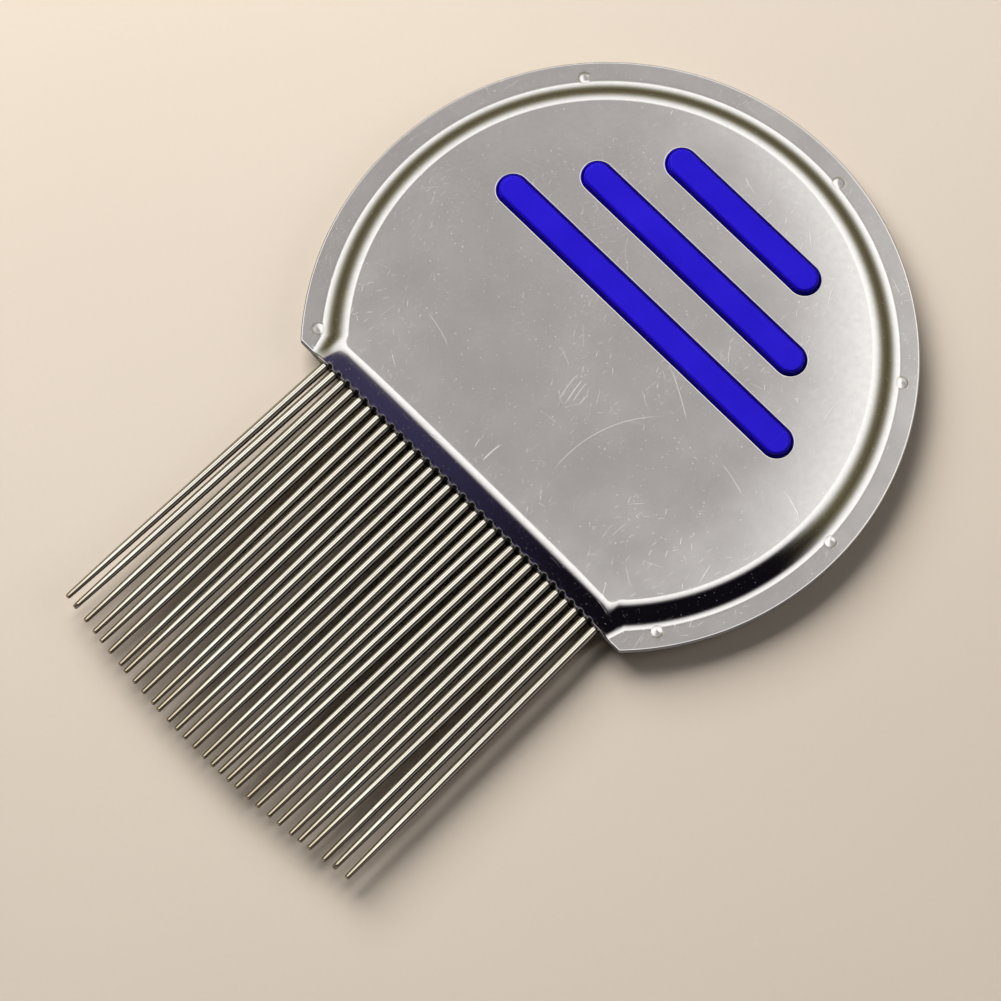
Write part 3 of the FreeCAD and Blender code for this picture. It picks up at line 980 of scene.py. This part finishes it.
def dark_plastic():
    """Matt dark moulding of the strip that the pins are set in."""
    shader = Shader("dark_moulding")
    place = shader.place()
    pebble = shader.noise(place, 2400, 3.0, 0.6)
    cloud = shader.noise(place, 240, 2.0)
    colour = shader.mix(shader.ramp(cloud, 0.3, 0.7), (0.018, 0.018, 0.02), (0.03, 0.03, 0.032))
    shader.set(Roughness=shader.ramp(pebble, 0.3, 0.7, 0.45, 0.6), Base_Color=colour)
    shader.bump(pebble, 0.00001)
    return shader.material


def table_top():
    """Plain pale laminate with a very faint fleck."""
    shader = Shader("pale_table")
    place = shader.place()
    cloud = shader.noise(place, 14, 2.0, 0.4)
    fleck = shader.noise(place, 1500, 3.0, 0.7)
    colour = shader.mix(shader.ramp(cloud, 0.3, 0.7), (0.655, 0.57, 0.485), (0.685, 0.60, 0.51))
    colour = shader.mix(shader.ramp(fleck, 0.55, 0.8, 0.0, 0.12), colour, (0.55, 0.47, 0.39))
    shader.set(Roughness=shader.ramp(fleck, 0.3, 0.7, 0.55, 0.7), Base_Color=colour)
    shader.bsdf.inputs["Specular IOR Level"].default_value = 0.2
    shader.bump(fleck, 0.00001)
    return shader.material


def dress(obj, material):
    """Give a piece its only material."""
    obj.data.materials.clear()
    obj.data.materials.append(material)


# ---- table, light and camera ----

TABLE_HALF = 0.9   # half the table top's side, in metres
TABLE_POINTS = 13  # points along each side


def table():
    """A plain flat top made of a few large squares."""
    ticks = np.linspace(-TABLE_HALF, TABLE_HALF, TABLE_POINTS)
    points = [(x, y, 0.0) for y in ticks for x in ticks]
    inner = range(TABLE_POINTS - 1)
    corners = [row * TABLE_POINTS + column for row in inner for column in inner]
    faces = [(k, k + 1, k + 1 + TABLE_POINTS, k + TABLE_POINTS) for k in corners]
    mesh = bpy.data.meshes.new("table")
    mesh.from_pydata(points, [], faces)
    obj = linked("table", mesh)
    obj.location.z = cad_low.z
    dress(obj, table_top())


WINDOWS = (((-0.73, 0.18, 0.66), 0.5, 4.45),  # direction, distance in metres, power in watts
           ((0.60, 0.55, 0.58), 0.6, 0.8))
WINDOW_SIDE = 0.4
WINDOW_COLOUR = (1.0, 0.985, 0.96)


def window(direction, distance, power):
    """A square soft box in a direction from the comb, facing it; mirrors don't show it."""
    data = bpy.data.lights.new("window", "AREA")
    data.shape = "RECTANGLE"
    data.size = WINDOW_SIDE
    data.size_y = WINDOW_SIDE
    data.energy = power
    data.color = WINDOW_COLOUR
    obj = linked("window", data)
    towards = Vector(direction).normalized()
    obj.location = towards * distance
    obj.rotation_euler = (-towards).to_track_quat("-Z", "Y").to_euler()
    obj.visible_glossy = False


VIEW_FROM = Vector((0.198, -0.242, 0.950))  # from the panel towards the camera

# Places in the tent are given as tilts, see light_tent.
TENT_GAIN = 1.8
TOP_COLOUR = (0.55, 0.53, 0.517)     # the grey top,
TOP_FAR = (0.63, 0.605, 0.588)       # lighter on its far side,
TOP_FAR_AT = (-0.03, 0.05)           # between these y
TOP_AT = (-0.02, -0.02, 0.0)         # its middle
TOP_ACROSS = (-0.67, 0.74, 0.0)      # the direction in which it is longer
TOP_NARROW = 0.6                     # and by how much: 0 is round
TOP_SPREAD = (0.056, 0.105)          # its soft edge, from the middle,
TOP_END = (-0.070, -0.058)           # and where it stops on the near side, along y
SCREEN_AT = (0.643, -0.766, 0.0)     # the direction of the screens
SCREEN_SPREAD = (0.50, 0.75)         # and their soft sides, as the cosine from it
BLUE_SCREEN = (0.036, 0.032, 0.078)  # the bluish part of the screens,
BLUE_SPREAD = (-0.03, 0.03)          # its soft edge along x
BLUE_FROM = (0.30, 0.36)             # and the tilts where it starts
LIT_SIDE = (
    (0.10, (1.0, 0.99, 0.98)), (0.20, (0.88, 0.87, 0.86)), (0.28, (0.69, 0.68, 0.66)),
    (0.346, (0.45, 0.44, 0.405)), (0.41, (0.25, 0.24, 0.185)), (0.47, (0.135, 0.123, 0.08)),
    (0.53, (0.08, 0.07, 0.04)), (0.60, (0.055, 0.045, 0.026)), (0.63, (0.24, 0.23, 0.215)),
    (1.0, (0.45, 0.44, 0.43)),
)
SCREEN_SIDE = (
    (0.10, (1.0, 0.99, 0.98)), (0.20, (0.80, 0.79, 0.79)), (0.26, (0.45, 0.44, 0.44)),
    (0.31, (0.06, 0.055, 0.06)), (0.36, (0.004, 0.003, 0.005)), (0.594, (0.004, 0.003, 0.005)),
    (0.62, (0.165, 0.16, 0.165)), (1.0, (0.45, 0.44, 0.45)),
)


def stops(nodes, value, colours):
    """A colour that goes through the given ones as value rises."""
    made = nodes.node("ValToRGB", inputs={0: value})
    ramp = made.color_ramp
    for element in list(ramp.elements)[1:]:
        ramp.elements.remove(element)
    ramp.elements[0].position = colours[0][0]
    ramp.elements[0].color = (*colours[0][1], 1.0)
    for position, colour in colours[1:]:
        ramp.elements.new(position).color = (*colour, 1.0)
    return made.outputs["Color"]


def tent_top(nodes, level, parts):
    """How far a place belongs to the tent's grey top, and the grey there."""
    from_top = nodes.vector("SUBTRACT", level, TOP_AT)
    across = nodes.math("POWER", nodes.dot(from_top, TOP_ACROSS), 2.0)
    away = nodes.math("POWER", nodes.length(from_top), 2.0)
    away = nodes.math("SQRT", nodes.math("SUBTRACT", away, nodes.times(across, TOP_NARROW)))
    top = nodes.fade(away, *TOP_SPREAD, 1.0, 0.0)
    top = nodes.times(top, nodes.fade(parts[1], *TOP_END))
    grey = nodes.mix(nodes.ramp(parts[1], *TOP_FAR_AT), TOP_COLOUR, TOP_FAR)
    return top, nodes.mix(1.0 / TENT_GAIN, (0.0, 0.0, 0.0), grey)


def light_tent():
    """Soft light from all round, as in a light tent with dark screens on one side.

    A direction is named by the tilt that a mirror needs to show it to the
    camera: x and y of the direction halfway between it and VIEW_FROM.  A level
    mirror shows the tent's grey top, and ever more tilted ones the bright ring
    round it, the dim walls and the plain grey below them.  Only reflections
    show the tent, which lights nothing else.
    """
    made = bpy.data.worlds.new("light_tent")
    made.use_nodes = True
    nodes = Nodes(made.node_tree)
    direction = nodes.node("TexCoord").outputs["Generated"]
    halfway = nodes.vector("NORMALIZE", nodes.vector("ADD", direction, tuple(VIEW_FROM)))
    parts = nodes.node("SeparateXYZ", inputs={0: halfway}).outputs
    level = nodes.node("CombineXYZ", inputs={0: parts[0], 1: parts[1], 2: 0.0}).outputs[0]
    tilt = nodes.length(level)
    lit = stops(nodes, tilt, LIT_SIDE)
    screened = stops(nodes, tilt, SCREEN_SIDE)
    facing = nodes.math("DIVIDE", nodes.dot(level, SCREEN_AT), nodes.most(tilt, 0.01))
    shade = nodes.fade(facing, *SCREEN_SPREAD)
    blue = nodes.fade(parts[0], *BLUE_SPREAD, 1.0, 0.0)
    blue = nodes.times(blue, nodes.fade(tilt, *BLUE_FROM))
    screened = nodes.mix(blue, screened, BLUE_SCREEN)
    walls = nodes.mix(shade, lit, screened)
    top, grey = tent_top(nodes, level, parts)
    background = made.node_tree.nodes["Background"]
    nodes.put(nodes.mix(top, walls, grey), background.inputs["Color"])
    background.inputs["Strength"].default_value = TENT_GAIN
    made.cycles_visibility.diffuse = False
    bpy.context.scene.world = made


CAMERA_AIM = (3.407, -19.270)  # the point looked at, in millimetres from the rim's centre
CAMERA_DISTANCE = 0.47016      # in metres
CAMERA_TURN = 43.54            # from -Y towards +X, in degrees
CAMERA_RISE = 73.73            # above level
CAMERA_ROLL = -1.91
LENS = 165.25115               # focal length in millimetres
SENSOR = 36.0


def camera():
    """The view from over the comb's +X, -Y side, 16 degrees off upright."""
    data = bpy.data.cameras.new("camera")
    data.sensor_width = SENSOR
    data.lens = LENS
    data.clip_start = 0.01
    obj = linked("camera", data)
    aim = RIM_CENTRE + Vector((*CAMERA_AIM, 0.0)) * MM
    turn, rise = math.radians(CAMERA_TURN), math.radians(CAMERA_RISE)
    back = Vector((math.sin(turn) * math.cos(rise), -math.cos(turn) * math.cos(rise), math.sin(rise)))
    obj.location = aim + back * CAMERA_DISTANCE
    obj.rotation_mode = "QUATERNION"
    level = (-back).to_track_quat("-Z", "Y")
    obj.rotation_quaternion = level @ Quaternion((0, 0, 1), math.radians(-CAMERA_ROLL))
    bpy.context.scene.camera = obj


# ---- the comb ----

STEEL = shell_steel()
for name, mirror in (("front_shell", False), ("back_shell", True)):
    pressing = shell(name + "_pressing", mirror)
    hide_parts(name)
    dress(pressing, STEEL)
dress(core(), blue_plastic())
WIRE = pin_metal()
for name in PIN_NAMES:
    dress(pin(name), WIRE)
dress(NODES["pin_holder"], dark_plastic())

table()
for direction, distance, power in WINDOWS:
    window(direction, distance, power)
light_tent()
camera()
bpy.context.scene.view_settings.view_transform = "Standard"
